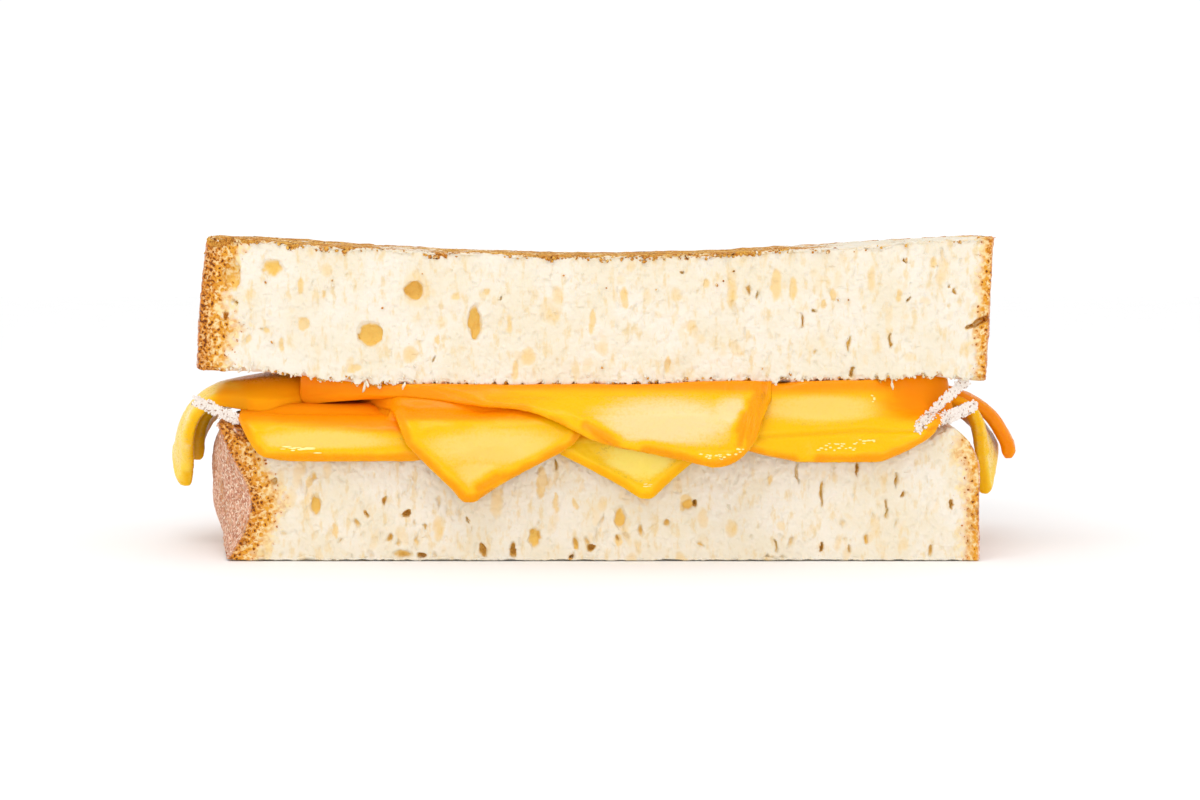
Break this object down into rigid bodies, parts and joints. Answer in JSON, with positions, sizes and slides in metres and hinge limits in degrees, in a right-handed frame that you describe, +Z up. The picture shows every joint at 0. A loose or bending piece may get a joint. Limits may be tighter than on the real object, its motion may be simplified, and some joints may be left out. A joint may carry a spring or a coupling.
{
  "type": "grilled cheese sandwich half",
  "caption": "Cut half of a grilled cheese sandwich: two thick slices of white bread with melted cheese slices drooping over the cut face and the ends.",
  "frame": {"origin": "under the middle of the sandwich, on the surface it rests on", "axes": "+X to the right along the cut face, +Y from the cut face to the back crust, +Z up"},
  "size_m": [0.1364, 0.0704, 0.0494],
  "materials": {
    "bread": "soft porous white crumb on the cut face, golden grilled outer faces, orange-brown crust",
    "cheese": "glossy melted yellow-orange cheese with an oily sheen and small bubbles"
  },
  "bodies": {
    "root": {"bread_bottom": "bread", "bread_top": "bread", "cheese_middle_corner": "cheese", "cheese_left_square": "cheese", "cheese_right_square": "cheese", "cheese_front_corner": "cheese", "cheese_left_inner": "cheese", "cheese_left_outer": "cheese", "cheese_right_inner": "cheese", "cheese_right_outer": "cheese", "cheese_top_slice": "cheese"}
  },
  "joints": []
}
